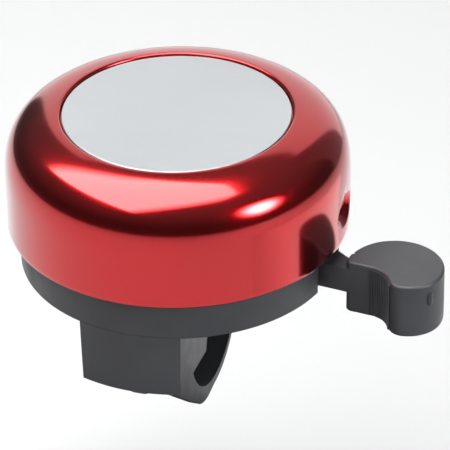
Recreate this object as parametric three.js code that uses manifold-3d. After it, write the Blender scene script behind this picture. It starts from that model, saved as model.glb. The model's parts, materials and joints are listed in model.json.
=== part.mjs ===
// Bicycle bell for a 22.2 mm handlebar: a dome bell of 53 mm with a thumb lever, a gear train that spins
// two loose striker rings under the dome, and a hinged clamp strap.
//
// Frame: millimetres, +Z up. The origin is the centre of the handlebar, straight under the middle of the
// dome. The handlebar runs along X, the thumb lever points to +X, and the clamp screw is on the -Y side.
import * as THREE from 'three';
import { mergeVertices } from 'three/addons/utils/BufferGeometryUtils.js';
import Module from 'manifold-3d';

const wasm = await Module();
wasm.setup();

// ---------- driving dimensions (mm) ----------

const BAR_DIAMETER = 22.2; // handlebar that the clamp takes
const SEAT_RADIUS = BAR_DIAMETER / 2 + 0.05;
const BASE_Z = 11.4; // underside of the base housing, above the handlebar's axis

const DOME_RADIUS = 26.5;
const DOME_WALL = 1.0;
const DOME_RIM_Z = 6.6; // heights from here on are above the underside of the base
const DOME_SHOULDER_Z = 14.13; // where the straight side wall ends
const DOME_CREST_Z = 25.45; // height that the shoulder's curve would reach without the recess
const SHOULDER_START_RADIUS = 11.0; // where the shoulder's curve would level out
const SHOULDER_POWER = 3.21; // 2 is an ellipse, more is squarer
const DOME_CREST_RADIUS = 18.2;
const RECESS_RADIUS = 17.8;
const RECESS_Z = 24.25;
const WELL_RADIUS = 6.0;
const WELL_Z = 21.5;
const BUMP_ANGLES = [3, 183]; // degrees round the dome
const BUMP_Z = 11.6;
const DENT_SIZE = [1.5, 3.4, 2.3]; // half sizes: into the wall, along it, up it

const DISC_RADIUS = 17.5;
const DISC_THICKNESS = 0.6;

const BASE_RADIUS_LOW = 24.7;
const BASE_RADIUS_HIGH = 24.9;
const BASE_INNER_RADIUS = 23.1;
const BASE_HEIGHT = 8.0;
const FLOOR = 1.6;
const LEVER_SLOT = [-8.6, 18.5]; // degrees from the lever's direction
const LEVER_SLOT_INNER_RADIUS = 21.0;

const BLOCK_HALF_WIDTH = 8.1;
const BLOCK_DRAFT = 0.3; // narrowing of each side down to the bottom
const BLOCK_DEPTH = 10.2; // below the underside of the base
const SCREW_Y = -15.6;
const SCREW_RADIUS = 1.5; // M3
const NUT_ACROSS_FLATS = 5.5;
const NUT_HEIGHT = 2.4;
const NUT_TOP_Z = -3.2;

const STRAP_HALF_WIDTH = 5.4;
const STRAP_RIB = 1.7; // width of the rib along each edge of the strap
const WEB_OUTER_RADIUS = 12.05;
const RIB_OUTER_RADIUS = 12.5;
const RIB_CENTRE_Y = -0.45; // makes the ribs deeper towards the screw
const HINGE_RADIUS = 14.2; // strap hinge, from the handlebar's axis
const HINGE_ANGLE = 25; // degrees above the horizontal
const HINGE_PIN_RADIUS = 1.1;
const KNUCKLE_RADIUS = 2.6;
const EAR_RADIUS = 3.0;

const POST_RADIUS = 2.0; // M4

const LEVER_ANGLE = -4.3; // degrees: the direction in which the lever points
const PIVOT_DISTANCE = 18.0; // lever pivot, from the dome's axis
const PIN_RADIUS = 1.25;
const LEVER_Z = [0.2, 4.4];
const HUB_Z = 1.8;
const PAD_Z = [-3.4, 5.6];

const MODULE = 0.8;
const PRESSURE_ANGLE = 25; // degrees
const ADDENDUM = 0.8; // in modules
const DEDENDUM = 1.1; // in modules
const BACKLASH = 0.16; // thinning of each tooth at the pitch circle
const SECTOR_TEETH = 30; // on a full circle
const IDLER_PINION_TEETH = 9;
const IDLER_TEETH = 22;
const ROTOR_TEETH = 9;
const LOW_GEARS_Z = [1.9, 4.0];
const HIGH_GEARS_Z = [4.4, 6.2];
const ROTOR_FLANGE_Z = 6.5; // clear of the idler's top face

const ROTOR_ANGLE = 50; // degrees: the direction of the striker bar at rest
const STRIKER_RADIUS = 17.6; // striker pins, from the dome's axis
const BAR_Z = [8.2, 9.4];
const RING_RADIUS = 5.5;
const RING_HOLE_RADIUS = 2.7;
const RING_Z = [9.9, 12.5];

const FIT = 0.03; // radial play of a pin in a hole
const ROUND = 20; // sides of small round pieces

// ---------- helpers ----------

const rad = (degrees) => (degrees * Math.PI) / 180;

const polar = (radius, degrees) => [radius * Math.cos(rad(degrees)), radius * Math.sin(rad(degrees))];

function toSolid(geometry) {
  const bare = geometry.clone();
  bare.deleteAttribute('normal');
  bare.deleteAttribute('uv');
  const merged = mergeVertices(bare, 1e-4);
  return new wasm.Manifold(new wasm.Mesh({
    numProp: 3,
    vertProperties: merged.attributes.position.array,
    triVerts: new Uint32Array(merged.index.array),
  }));
}

function toGeometry(solid) {
  const mesh = solid.getMesh();
  const geometry = new THREE.BufferGeometry();
  geometry.setAttribute('position', new THREE.BufferAttribute(mesh.vertProperties, 3));
  geometry.setIndex(new THREE.BufferAttribute(mesh.triVerts, 1));
  geometry.computeVertexNormals();
  return geometry;
}

// One geometry from several: the first with the others joined to it.
const join = (first, ...others) =>
  toGeometry(others.reduce((solid, other) => solid.add(toSolid(other)), toSolid(first)));

// The first geometry with the others cut out of it.
const cut = (first, ...others) =>
  toGeometry(others.reduce((solid, other) => solid.subtract(toSolid(other)), toSolid(first)));

const common = (first, second) => toGeometry(toSolid(first).intersect(toSolid(second)));

// A body turned about Z from a closed list of [radius, z], listed upwards on its outside.
function turned(profile, segments = ROUND) {
  const points = profile.map(([radius, z]) => new THREE.Vector2(radius, z));
  return new THREE.LatheGeometry(points, segments).rotateX(Math.PI / 2);
}

const disc = (radius, low, high, segments = ROUND) =>
  turned([[0, low], [radius, low], [radius, high], [0, high]], segments);

const ring = (inner, outer, low, high, segments = ROUND) =>
  turned([[inner, low], [outer, low], [outer, high], [inner, high], [inner, low]], segments);

function prism(shape, low, high, curveSegments = 6) {
  const settings = { depth: high - low, bevelEnabled: false, curveSegments };
  return new THREE.ExtrudeGeometry(shape, settings).translate(0, 0, low);
}

const polygon = (corners) => new THREE.Shape(corners.map(([x, y]) => new THREE.Vector2(x, y)));

function box(low, high) {
  const size = high.map((value, i) => value - low[i]);
  const middle = high.map((value, i) => (value + low[i]) / 2);
  return new THREE.BoxGeometry(...size).translate(...middle);
}

// A profile drawn in (y, z), extruded along X to a half width on each side.
function acrossBar(shape, halfWidth, curveSegments = 8) {
  return prism(shape, -halfWidth, halfWidth, curveSegments)
    .applyMatrix4(new THREE.Matrix4().set(0, 0, 1, 0, 1, 0, 0, 0, 0, 1, 0, 0, 0, 0, 0, 1));
}

const hexagonRadius = (acrossFlats) => acrossFlats / Math.sqrt(3);

// Outline of an involute gear from tooth `first` to tooth `last`; a full gear has `teeth` of them.
// Tooth 0 is centred on +X. The flanks run radially below the base circle.
function toothPoints(teeth, first, last) {
  const pitch = (MODULE * teeth) / 2;
  const base = pitch * Math.cos(rad(PRESSURE_ANGLE));
  const tip = pitch + ADDENDUM * MODULE;
  const root = pitch - DEDENDUM * MODULE;
  const involute = (radius) => {
    const pressure = Math.acos(Math.min(1, base / radius));
    return Math.tan(pressure) - pressure;
  };
  const halfAtPitch = Math.PI / (2 * teeth) - BACKLASH / (2 * pitch);
  const halfAt = (radius) => halfAtPitch + involute(pitch) - involute(Math.max(radius, base));
  const levels = [root, Math.max(root + 0.05, base), pitch, tip];
  const points = [];
  for (let tooth = first; tooth <= last; tooth += 1) {
    const middle = (tooth * 2 * Math.PI) / teeth;
    for (const radius of levels) {
      const angle = middle - halfAt(radius);
      points.push([radius * Math.cos(angle), radius * Math.sin(angle)]);
    }
    for (const radius of [...levels].reverse()) {
      const angle = middle + halfAt(radius);
      points.push([radius * Math.cos(angle), radius * Math.sin(angle)]);
    }
  }
  return points;
}

const gear = (teeth, low, high) => prism(polygon(toothPoints(teeth, 0, teeth - 1)), low, high);

// The turn (degrees) that sets a gear in mesh with its driver. Both are given in the same frame: the driver's
// tooth 0 points to driverAngle, and the line from driver to gear points to lineAngle.
function meshAngle(driverTeeth, driverAngle, teeth, lineAngle) {
  const phase = ((lineAngle - driverAngle) * driverTeeth) / 360;
  return lineAngle + 180 - ((0.5 - phase) * 360) / teeth;
}

function material(color, roughness, metalness) {
  return new THREE.MeshStandardMaterial({ color, roughness, metalness });
}

const blackPlastic = () => material(0x39393b, 0.55, 0);
const whitePlastic = () => material(0xd9d6cc, 0.5, 0);
const zincSteel = () => material(0xb5b7b9, 0.35, 1);

function part(name, geometry, finish) {
  const mesh = new THREE.Mesh(geometry, finish);
  mesh.name = name;
  return mesh;
}

// A retaining clip: a flat ring with a gap that faces +X.
function clip(inner, outer, low, high, gap = 1.8) {
  return cut(ring(inner, outer, low, high), box([0, -gap / 2, low - 1], [outer + 1, gap / 2, high + 1]));
}

// ---------- places of the gear train ----------

const pivot = polar(PIVOT_DISTANCE, LEVER_ANGLE);
const lowCentres = (MODULE * (SECTOR_TEETH + IDLER_PINION_TEETH)) / 2; // lever pivot to idler
const highCentres = (MODULE * (IDLER_TEETH + ROTOR_TEETH)) / 2; // idler to dome axis
const idlerOffset = Math.acos(
  (PIVOT_DISTANCE ** 2 + highCentres ** 2 - lowCentres ** 2) / (2 * PIVOT_DISTANCE * highCentres),
);
const idler = polar(highCentres, LEVER_ANGLE + (idlerOffset * 180) / Math.PI);
const leverToIdler = (Math.atan2(idler[1] - pivot[1], idler[0] - pivot[0]) * 180) / Math.PI;
const idlerToRotor = (Math.atan2(-idler[1], -idler[0]) * 180) / Math.PI;
const sectorStep = 360 / SECTOR_TEETH;
const sectorLastTooth = Math.floor((leverToIdler + sectorStep * 0.75) / sectorStep);
const sectorFirstTooth = sectorLastTooth - 4;
const idlerPinionAngle = meshAngle(SECTOR_TEETH, 0, IDLER_PINION_TEETH, leverToIdler);
const rotorAngle = meshAngle(IDLER_TEETH, idlerPinionAngle, ROTOR_TEETH, idlerToRotor);

// ---------- dome and its cover ----------

// Points of the rounded shoulder between the side wall and the crest, moved inwards by `inset`.
function shoulder(inset, steps) {
  const width = DOME_RADIUS - inset - SHOULDER_START_RADIUS;
  const height = DOME_CREST_Z - inset - DOME_SHOULDER_Z;
  const crest = (DOME_CREST_RADIUS - inset / 2 - SHOULDER_START_RADIUS) / width;
  const lastAngle = Math.acos(crest ** (SHOULDER_POWER / 2));
  const points = [];
  for (let i = 0; i <= steps; i += 1) {
    const angle = (i / steps) * lastAngle;
    points.push([
      SHOULDER_START_RADIUS + width * Math.cos(angle) ** (2 / SHOULDER_POWER),
      DOME_SHOULDER_Z + height * Math.sin(angle) ** (2 / SHOULDER_POWER),
    ]);
  }
  return points;
}

function domeGeometry() {
  const sides = 60;
  const steps = 8;
  const recessUnder = RECESS_Z - DOME_WALL;
  const wellUnder = WELL_Z - DOME_WALL;
  const outside = [
    [DOME_RADIUS, DOME_RIM_Z],
    ...shoulder(0, steps),
    [RECESS_RADIUS, RECESS_Z + 0.7],
    [RECESS_RADIUS, RECESS_Z],
    [WELL_RADIUS, RECESS_Z],
    [WELL_RADIUS - 0.6, WELL_Z],
    [POST_RADIUS + FIT, WELL_Z],
  ];
  const inside = [
    [POST_RADIUS + FIT, wellUnder],
    [WELL_RADIUS + 0.4, wellUnder],
    [WELL_RADIUS + DOME_WALL, recessUnder],
    [RECESS_RADIUS - DOME_WALL, recessUnder],
    ...shoulder(DOME_WALL, steps - 2).slice(0, -1).reverse(),
    [DOME_RADIUS - DOME_WALL, DOME_RIM_Z],
  ];
  const shell = turned([...outside, ...inside, outside[0]], sides);
  const filled = turned([[0, DOME_RIM_Z], ...outside.slice(0, steps + 2), [0, RECESS_Z]], sides);
  const lens = (thicker, degrees) =>
    new THREE.SphereGeometry(1, 16, 10)
      .scale(...DENT_SIZE.map((half) => half + thicker))
      .translate(DOME_RADIUS, 0, BUMP_Z)
      .rotateZ(rad(degrees));
  const bumps = BUMP_ANGLES.map((degrees) => common(lens(DOME_WALL, degrees), filled));
  return cut(join(shell, ...bumps), ...BUMP_ANGLES.map((degrees) => lens(0, degrees)));
}

const coverDiscGeometry = () => disc(DISC_RADIUS, RECESS_Z + 0.05, RECESS_Z + 0.05 + DISC_THICKNESS, 60);

const domeWasherGeometry = () => ring(POST_RADIUS + 0.1, 4.5, WELL_Z + 0.05, WELL_Z + 0.55);

function domeNutGeometry() {
  const low = WELL_Z + 0.6;
  return cut(disc(hexagonRadius(7), low, low + 1.8, 6), disc(POST_RADIUS + FIT, low - 1, low + 3));
}

// ---------- centre post and what is on it ----------

const POST_HEAD = [3.8, 0.3, 2.1];
const ROTOR_CLIP_Z = [10.1, 10.7];
const SLEEVE_Z = [10.9, WELL_Z - DOME_WALL - 0.05];
const GROOVE = 0.35; // depth of a clip's groove

function centrePostGeometry() {
  const [headRadius, headLow, headHigh] = POST_HEAD;
  return turned([
    [0, headLow],
    [headRadius - 0.4, headLow],
    [headRadius, headLow + 0.4],
    [headRadius, headHigh],
    [POST_RADIUS, headHigh],
    [POST_RADIUS, ROTOR_CLIP_Z[0] - 0.05],
    [POST_RADIUS - GROOVE, ROTOR_CLIP_Z[0] - 0.05],
    [POST_RADIUS - GROOVE, ROTOR_CLIP_Z[1] + 0.05],
    [POST_RADIUS, ROTOR_CLIP_Z[1] + 0.05],
    [POST_RADIUS, WELL_Z + 2.2],
    [POST_RADIUS - 0.4, WELL_Z + 2.5],
    [0, WELL_Z + 2.5],
  ]);
}

const spacerSleeveGeometry = () => ring(POST_RADIUS + FIT, 4.0, ...SLEEVE_Z);

const rotorClipGeometry = () => clip(POST_RADIUS - GROOVE + 0.02, 3.6, ...ROTOR_CLIP_Z);

// ---------- base housing ----------

// A wedge of a ring between two angles, as a shape.
function wedge(inner, outer, from, to) {
  const shape = new THREE.Shape();
  shape.absarc(0, 0, outer, rad(from), rad(to), false);
  shape.absarc(0, 0, inner, rad(to), rad(from), true);
  return shape;
}

// The clamp block: drafted sides, and a front that follows the housing's round wall.
function blockGeometry() {
  const top = 1;
  const low = BLOCK_HALF_WIDTH - BLOCK_DRAFT;
  const high = BLOCK_HALF_WIDTH;
  const front = polygon([[-low, -BLOCK_DEPTH], [low, -BLOCK_DEPTH], [high, top], [-high, top]]);
  const rough = prism(front, 0, BASE_RADIUS_HIGH).rotateX(Math.PI / 2);
  return common(rough, disc(BASE_RADIUS_LOW, -BLOCK_DEPTH - 1, top + 1, 60));
}

const hinge = [
  HINGE_RADIUS * Math.cos(rad(HINGE_ANGLE)),
  HINGE_RADIUS * Math.sin(rad(HINGE_ANGLE)) - BASE_Z,
];

// A round lug about the strap's hinge pin that runs up to the floor, in (y, z).
function earShape() {
  const [y, z] = hinge;
  const shape = new THREE.Shape();
  shape.moveTo(y + EAR_RADIUS, 0.8);
  shape.lineTo(y - EAR_RADIUS, 0.8);
  shape.absarc(y, z, EAR_RADIUS, Math.PI, 2 * Math.PI, false);
  return shape;
}

// A bar-wide tool about X at (y, z).
function barAcross(radius, halfWidth, y, z, segments = ROUND) {
  return new THREE.CylinderGeometry(radius, radius, 2 * halfWidth, segments)
    .rotateZ(Math.PI / 2)
    .translate(0, y, z);
}

function baseGeometry() {
  const sides = 60;
  const chamfer = 0.3;
  const cup = turned([
    [0, 0],
    [BASE_RADIUS_LOW - chamfer, 0],
    [BASE_RADIUS_LOW, chamfer],
    [BASE_RADIUS_HIGH, BASE_HEIGHT],
    [BASE_INNER_RADIUS, BASE_HEIGHT],
    [BASE_INNER_RADIUS, FLOOR],
    [0, FLOOR],
  ], sides);
  const boss = disc(4.6, 0.5, 4.0);
  const idlerBoss = disc(2.6, 0.5, 1.8).translate(...idler, 0);
  const [peg, pegTop] = [polar(5.2, 235), 5.8];
  const springPeg = disc(0.9, 0.5, pegTop, 16).translate(pivot[0] + peg[0], pivot[1] + peg[1], 0);
  const ears = [-1, 1].map((side) => {
    const middle = (side * (BLOCK_HALF_WIDTH + STRAP_HALF_WIDTH + 0.3)) / 2;
    return acrossBar(earShape(), (BLOCK_HALF_WIDTH - STRAP_HALF_WIDTH - 0.3) / 2).translate(middle, 0, 0);
  });
  const body = join(cup, boss, idlerBoss, springPeg, blockGeometry(), ...ears);

  const slotAngles = LEVER_SLOT.map((degrees) => LEVER_ANGLE + degrees);
  const slot = prism(wedge(LEVER_SLOT_INNER_RADIUS, 30, ...slotAngles), -5, BASE_HEIGHT + 1);
  const postHole = disc(POST_RADIUS + FIT, -1, 6);
  const headRecess = disc(POST_HEAD[0] + FIT, -1, POST_HEAD[2] + 0.05);
  const pivotHole = disc(PIN_RADIUS + FIT, -1, 3).translate(...pivot, 0);
  const idlerHole = disc(PIN_RADIUS + FIT, -1, 3).translate(...idler, 0);
  const screwHole = disc(SCREW_RADIUS + 0.15, -BLOCK_DEPTH - 1, -1.0).translate(0, SCREW_Y, 0);
  const halfNut = NUT_ACROSS_FLATS / 2 + 0.15;
  const nutSlot = box(
    [-halfNut, SCREW_Y - halfNut, NUT_TOP_Z - NUT_HEIGHT - 0.15],
    [halfNut, -5, NUT_TOP_Z + 0.15],
  );
  const hingeHole = barAcross(HINGE_PIN_RADIUS + FIT, 12, ...hinge);
  const bores = [postHole, headRecess, pivotHole, idlerHole, screwHole, nutSlot, hingeHole];
  return cut(body, slot, barSeatGeometry(), ...bores);
}

// ---------- clamp ----------

const LUG_TOP = -BLOCK_DEPTH - 0.3;
const LUG_FRONT = -20.5;
const LUG_FRONT_LOW = -BASE_Z - 0.7;
const HEAD_SEAT = LUG_TOP - 1.8; // underside of the plate that the screw's head pulls up
const WASHER_THICKNESS = 0.4;
const HEAD_HEIGHT = 1.65;

// The seat for the handlebar, as a tool.
const barSeatGeometry = () => barAcross(SEAT_RADIUS, 30, 0, -BASE_Z, 60);

// Side view of an edge rib, in (y, z): a thin band at the back, a sloping lug in front.
function ribShape() {
  const shape = new THREE.Shape();
  shape.moveTo(LUG_FRONT, LUG_TOP);
  shape.lineTo(LUG_FRONT, LUG_FRONT_LOW);
  shape.absarc(-3.5, -5.0 - BASE_Z, 7.6, rad(230), rad(270), false);
  shape.absarc(RIB_CENTRE_Y, -BASE_Z, RIB_OUTER_RADIUS, rad(270), rad(360 + HINGE_ANGLE), false);
  shape.lineTo(0, -BASE_Z);
  shape.lineTo(-SEAT_RADIUS, LUG_TOP);
  return shape;
}

// Side view of the web between the ribs: a band of even thickness and a flat plate for the screw.
function webShape() {
  const shape = new THREE.Shape();
  shape.moveTo(LUG_FRONT, LUG_TOP);
  shape.lineTo(LUG_FRONT, HEAD_SEAT);
  shape.lineTo(-WEB_OUTER_RADIUS, HEAD_SEAT);
  shape.absarc(0, -BASE_Z, WEB_OUTER_RADIUS, rad(184), rad(360 + HINGE_ANGLE), false);
  shape.lineTo(0, -BASE_Z);
  shape.lineTo(-SEAT_RADIUS, LUG_TOP);
  return shape;
}

function strapGeometry() {
  const web = acrossBar(webShape(), STRAP_HALF_WIDTH - STRAP_RIB + 0.1, 14);
  const ribs = [-1, 1].map((side) =>
    acrossBar(ribShape(), STRAP_RIB / 2, 14).translate(side * (STRAP_HALF_WIDTH - STRAP_RIB / 2), 0, 0));
  const knuckle = barAcross(KNUCKLE_RADIUS, STRAP_HALF_WIDTH, ...hinge);
  const pinHole = barAcross(HINGE_PIN_RADIUS + FIT, 12, ...hinge);
  const slot = new THREE.Shape(); // long enough for the lug to lean while the strap is slack
  slot.absarc(0, SCREW_Y + 0.1, SCREW_RADIUS + 0.2, 0, Math.PI, false);
  slot.absarc(0, SCREW_Y - 1.1, SCREW_RADIUS + 0.2, Math.PI, 2 * Math.PI, false);
  return cut(join(web, ...ribs, knuckle), pinHole, prism(slot, -20, -5), barSeatGeometry());
}

const hingePinGeometry = () => barAcross(HINGE_PIN_RADIUS, BLOCK_HALF_WIDTH - 0.1, ...hinge);

function clampNutGeometry() {
  const half = NUT_ACROSS_FLATS / 2;
  const plate = box([-half, -half, NUT_TOP_Z - NUT_HEIGHT], [half, half, NUT_TOP_Z]);
  return cut(plate, disc(SCREW_RADIUS + FIT, -20, 20)).translate(0, SCREW_Y, 0);
}

const clampWasherGeometry = () =>
  ring(SCREW_RADIUS + 0.1, 3.2, HEAD_SEAT - 0.1 - WASHER_THICKNESS, HEAD_SEAT - 0.1).translate(0, SCREW_Y, 0);

// Button head screw with a hexagon socket.
function clampScrewGeometry() {
  const top = HEAD_SEAT - 0.15 - WASHER_THICKNESS;
  const screw = turned([
    [0, top - HEAD_HEIGHT],
    [1.5, top - HEAD_HEIGHT],
    [2.3, top - HEAD_HEIGHT + 0.4],
    [2.75, top - HEAD_HEIGHT + 1.0],
    [2.85, top],
    [SCREW_RADIUS, top],
    [SCREW_RADIUS, -1.9],
    [SCREW_RADIUS - 0.3, -1.6],
    [0, -1.6],
  ]);
  const socket = disc(hexagonRadius(2), top - HEAD_HEIGHT - 1, top - HEAD_HEIGHT + 1.1, 6);
  return cut(screw, socket).translate(0, SCREW_Y, 0);
}

// ---------- thumb lever ----------

// Outline of the thumb pad in the lever's frame: x away from the dome's axis, y against the thumb's push.
// The round back runs into a smaller nose, then a hollow for the thumb and a short flat.
const PAD_CENTRE = [35.65, -0.15];
const PAD_RADIUS = 7.45;
const FRONT_CENTRE = [37.75, -0.15];
const FRONT_RADIUS = 5.35;
const NOSE_RADIUS = 2.6;
const NOSE_ANGLE = -80; // degrees: where the front arc runs into the nose
const HOLLOW_CENTRE = [32.0, -6.45];
const HOLLOW_RADIUS = 4.6;
const PAD_INNER_END = 28.1;

const noseCentre = polar(FRONT_RADIUS - NOSE_RADIUS, NOSE_ANGLE).map((value, i) => value + FRONT_CENTRE[i]);

function padShape() {
  const flat = HOLLOW_CENTRE[1] + HOLLOW_RADIUS;
  const backEnd = Math.PI - Math.acos(Math.min(1, (PAD_CENTRE[0] - PAD_INNER_END - 0.2) / PAD_RADIUS));
  const toHollow = Math.atan2(HOLLOW_CENTRE[1] - noseCentre[1], HOLLOW_CENTRE[0] - noseCentre[0]);
  const shape = new THREE.Shape();
  shape.moveTo(PAD_INNER_END, flat);
  shape.lineTo(HOLLOW_CENTRE[0], flat);
  shape.absarc(...HOLLOW_CENTRE, HOLLOW_RADIUS, Math.PI / 2, toHollow + Math.PI, true);
  shape.absarc(...noseCentre, NOSE_RADIUS, toHollow, rad(NOSE_ANGLE), false);
  shape.absarc(...FRONT_CENTRE, FRONT_RADIUS, rad(NOSE_ANGLE), 0, false);
  shape.absarc(...PAD_CENTRE, PAD_RADIUS, 0, backEnd, false);
  shape.lineTo(PAD_INNER_END, 1.0);
  return shape;
}

function leverGeometry() {
  const [low, high] = LEVER_Z;
  const pad = prism(padShape(), ...PAD_Z, 8);
  const deepArm = prism(polygon([[23.3, -1.75], [29, -1.9], [29, 1.3], [27.9, 1.6], [23.3, 3.7]]), low, high);
  const arm = prism(polygon([[18, -3.9], [22.4, -1.75], [24, -1.75], [24, 3.4], [18, 3.9]]), HUB_Z, high);
  const hub = disc(3.9, HUB_Z, high).translate(PIVOT_DISTANCE, 0, 0);
  const collar = disc(2.1, high - 0.5, 6.5, 24).translate(PIVOT_DISTANCE, 0, 0);
  const springLug = disc(0.7, high - 0.5, 6.0, 12).translate(PIVOT_DISTANCE + 4.6, 0, 0);
  const along = join(pad, deepArm, arm, hub, collar, springLug)
    .rotateZ(rad(LEVER_ANGLE))
    .translate(-pivot[0], -pivot[1], 0);

  const teeth = toothPoints(SECTOR_TEETH, sectorFirstTooth, sectorLastTooth);
  const sector = prism(polygon([[0, 0], ...teeth]), ...LOW_GEARS_Z);
  const pinHole = disc(PIN_RADIUS + FIT, -5, 10);
  return cut(join(along, sector), pinHole).translate(...pivot, 0);
}

function pivotPinGeometry(at, top, clipLow, clipHigh) {
  return turned([
    [0, 0.1],
    [PIN_RADIUS, 0.1],
    [PIN_RADIUS, clipLow - 0.05],
    [PIN_RADIUS - GROOVE, clipLow - 0.05],
    [PIN_RADIUS - GROOVE, clipHigh + 0.05],
    [PIN_RADIUS, clipHigh + 0.05],
    [PIN_RADIUS - 0.2, top],
    [0, top],
  ]).translate(...at, 0);
}

const LEVER_CLIP_Z = [6.65, 7.15];
const IDLER_CLIP_Z = [6.35, 6.85];

const smallClip = (at, [low, high], degrees) =>
  clip(PIN_RADIUS - GROOVE + 0.02, 2.6, low, high, 1.2).rotateZ(rad(degrees)).translate(...at, 0);

// Torsion spring round the lever's collar: a coil between two straight legs.
class SpringWire extends THREE.Curve {
  constructor(radius, low, pitch, turns, from, legs) {
    super();
    Object.assign(this, { radius, low, pitch, turns, from, legs });
  }

  getPoint(t, target = new THREE.Vector3()) {
    const legShare = 0.06;
    const inCoil = THREE.MathUtils.clamp((t - legShare) / (1 - 2 * legShare), 0, 1);
    const angle = this.from + inCoil * this.turns * 2 * Math.PI;
    const beyond = (Math.min(t - legShare, 0) + Math.max(t - 1 + legShare, 0)) / legShare;
    const leg = beyond * (beyond < 0 ? this.legs[0] : this.legs[1]);
    return target.set(
      this.radius * Math.cos(angle) - leg * Math.sin(angle),
      this.radius * Math.sin(angle) + leg * Math.cos(angle),
      this.low + this.pitch * this.turns * inCoil,
    );
  }
}

function springGeometry() {
  const wireRadius = 0.22;
  const section = new THREE.Shape().absarc(0, 0, wireRadius, 0, 2 * Math.PI, false);
  const wire = new SpringWire(2.55, 4.8, 0.47, 2.86, rad(212), [5.2, 4.6]);
  const settings = { steps: 60, bevelEnabled: false, curveSegments: 3, extrudePath: wire };
  return new THREE.ExtrudeGeometry(section, settings).translate(...pivot, 0);
}

// ---------- idler and rotor ----------

function idlerGeometry() {
  const small = gear(IDLER_PINION_TEETH, LOW_GEARS_Z[0], HIGH_GEARS_Z[0] + 0.2);
  const large = gear(IDLER_TEETH, ...HIGH_GEARS_Z);
  return cut(join(small, large), disc(PIN_RADIUS + FIT, -5, 10))
    .rotateZ(rad(idlerPinionAngle))
    .translate(...idler, 0);
}

function rotorPinionGeometry() {
  const hub = turned([
    [0, ROTOR_FLANGE_Z],
    [4.2, ROTOR_FLANGE_Z],
    [4.2, BAR_Z[0] - 0.05],
    [3.0, BAR_Z[0] - 0.05],
    [3.0, ROTOR_CLIP_Z[0] - 0.15],
    [0, ROTOR_CLIP_Z[0] - 0.15],
  ]);
  const pinion = gear(ROTOR_TEETH, HIGH_GEARS_Z[0], ROTOR_FLANGE_Z + 0.2);
  return cut(join(pinion, hub), disc(POST_RADIUS + FIT, -5, 15)).rotateZ(rad(rotorAngle));
}

// Flat steel bar with round ends, wider at the hub.
function strikerBarGeometry() {
  const shape = new THREE.Shape();
  const halfWidth = 2.6;
  const middleRadius = 5.4;
  const turn = Math.asin(halfWidth / middleRadius);
  shape.absarc(STRIKER_RADIUS, 0, halfWidth, -Math.PI / 2, Math.PI / 2, false);
  shape.absarc(0, 0, middleRadius, turn, Math.PI - turn, false);
  shape.absarc(-STRIKER_RADIUS, 0, halfWidth, Math.PI / 2, (3 * Math.PI) / 2, false);
  shape.absarc(0, 0, middleRadius, Math.PI + turn, 2 * Math.PI - turn, false);
  const pinHole = (side) => disc(1.0 + FIT, 0, 20).translate(side * STRIKER_RADIUS, 0, 0);
  return cut(prism(shape, ...BAR_Z), disc(3.0 + FIT, 0, 20), pinHole(1), pinHole(-1)).rotateZ(rad(ROTOR_ANGLE));
}

const onBar = (geometry, side) =>
  geometry.translate(side * STRIKER_RADIUS, 0, 0).rotateZ(rad(ROTOR_ANGLE));

const strikerPinGeometry = (side) => onBar(turned([
  [0, BAR_Z[0] - 0.6],
  [1.7, BAR_Z[0] - 0.6],
  [1.9, BAR_Z[0] - 0.05],
  [1.0, BAR_Z[0] - 0.05],
  [1.0, BAR_Z[1] + 0.05],
  [1.35, BAR_Z[1] + 0.05],
  [1.35, RING_Z[1] + 0.4],
  [2.9, RING_Z[1] + 0.4],
  [3.1, RING_Z[1] + 0.8],
  [2.4, RING_Z[1] + 1.2],
  [0, RING_Z[1] + 1.2],
], 16), side);

const strikerRingGeometry = (side) => onBar(turned([
  [RING_HOLE_RADIUS, RING_Z[0]],
  [RING_RADIUS - 0.3, RING_Z[0]],
  [RING_RADIUS, RING_Z[0] + 0.3],
  [RING_RADIUS, RING_Z[1] - 0.3],
  [RING_RADIUS - 0.3, RING_Z[1]],
  [RING_HOLE_RADIUS, RING_Z[1]],
  [RING_HOLE_RADIUS, RING_Z[0]],
], 28), side);

// ---------- assembly ----------

const bell = new THREE.Group();
const head = new THREE.Group(); // everything that is measured from the underside of the base
head.position.z = BASE_Z;
bell.add(head);

head.add(
  part('dome', domeGeometry(), material(0xb3061f, 0.16, 1)),
  part('cover_disc', coverDiscGeometry(), material(0xd6dadd, 0.4, 0.6)),
  part('dome_washer', domeWasherGeometry(), zincSteel()),
  part('dome_nut', domeNutGeometry(), zincSteel()),
  part('centre_post', centrePostGeometry(), zincSteel()),
  part('spacer_sleeve', spacerSleeveGeometry(), blackPlastic()),
  part('rotor_clip', rotorClipGeometry(), zincSteel()),
  part('base_housing', baseGeometry(), blackPlastic()),
  part('clamp_strap', strapGeometry(), blackPlastic()),
  part('strap_hinge_pin', hingePinGeometry(), zincSteel()),
  part('clamp_nut', clampNutGeometry(), zincSteel()),
  part('clamp_washer', clampWasherGeometry(), zincSteel()),
  part('clamp_screw', clampScrewGeometry(), zincSteel()),
  part('thumb_lever', leverGeometry(), blackPlastic()),
  part('lever_pin', pivotPinGeometry(pivot, 7.5, ...LEVER_CLIP_Z), zincSteel()),
  part('lever_clip', smallClip(pivot, LEVER_CLIP_Z, 300), zincSteel()),
  part('lever_return_spring', springGeometry(), material(0x9da0a3, 0.3, 1)),
  part('idler_gear', idlerGeometry(), whitePlastic()),
  part('idler_pin', pivotPinGeometry(idler, 7.2, ...IDLER_CLIP_Z), zincSteel()),
  part('idler_clip', smallClip(idler, IDLER_CLIP_Z, 40), zincSteel()),
  part('rotor_pinion', rotorPinionGeometry(), whitePlastic()),
  part('striker_bar', strikerBarGeometry(), zincSteel()),
);
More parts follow.
